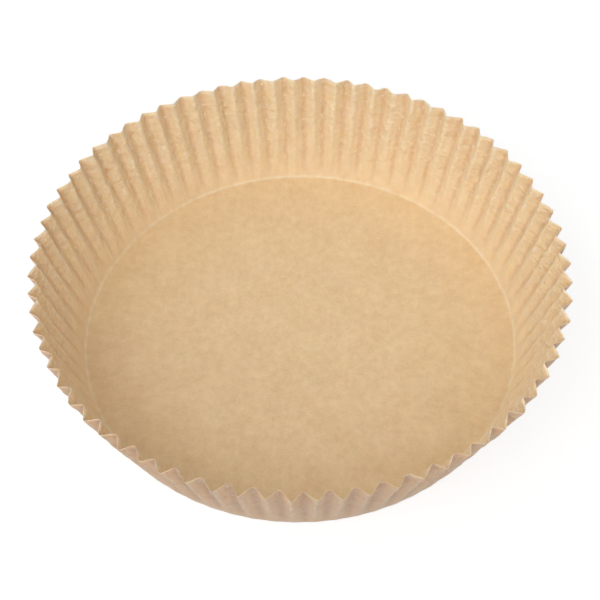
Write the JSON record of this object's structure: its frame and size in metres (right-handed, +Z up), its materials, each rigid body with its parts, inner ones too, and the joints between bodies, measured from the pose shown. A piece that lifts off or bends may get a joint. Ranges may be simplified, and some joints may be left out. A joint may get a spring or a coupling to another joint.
{
  "type": "air fryer paper liner",
  "caption": "Round one-piece paper liner with a flat base and a fluted wall that leans out to a zigzag rim, to line the basket of an air fryer.",
  "frame": {"origin": "centre of the underside of the flat base", "axes": "+Z up along the liner's axis, from the base to the rim, and +X through one of the outward folds"},
  "size_m": [0.2, 0.2, 0.0445],
  "materials": {
    "paper": "unbleached greaseproof paper, smooth with a faint sheen"
  },
  "bodies": {
    "root": {"liner": "paper"}
  },
  "joints": []
}
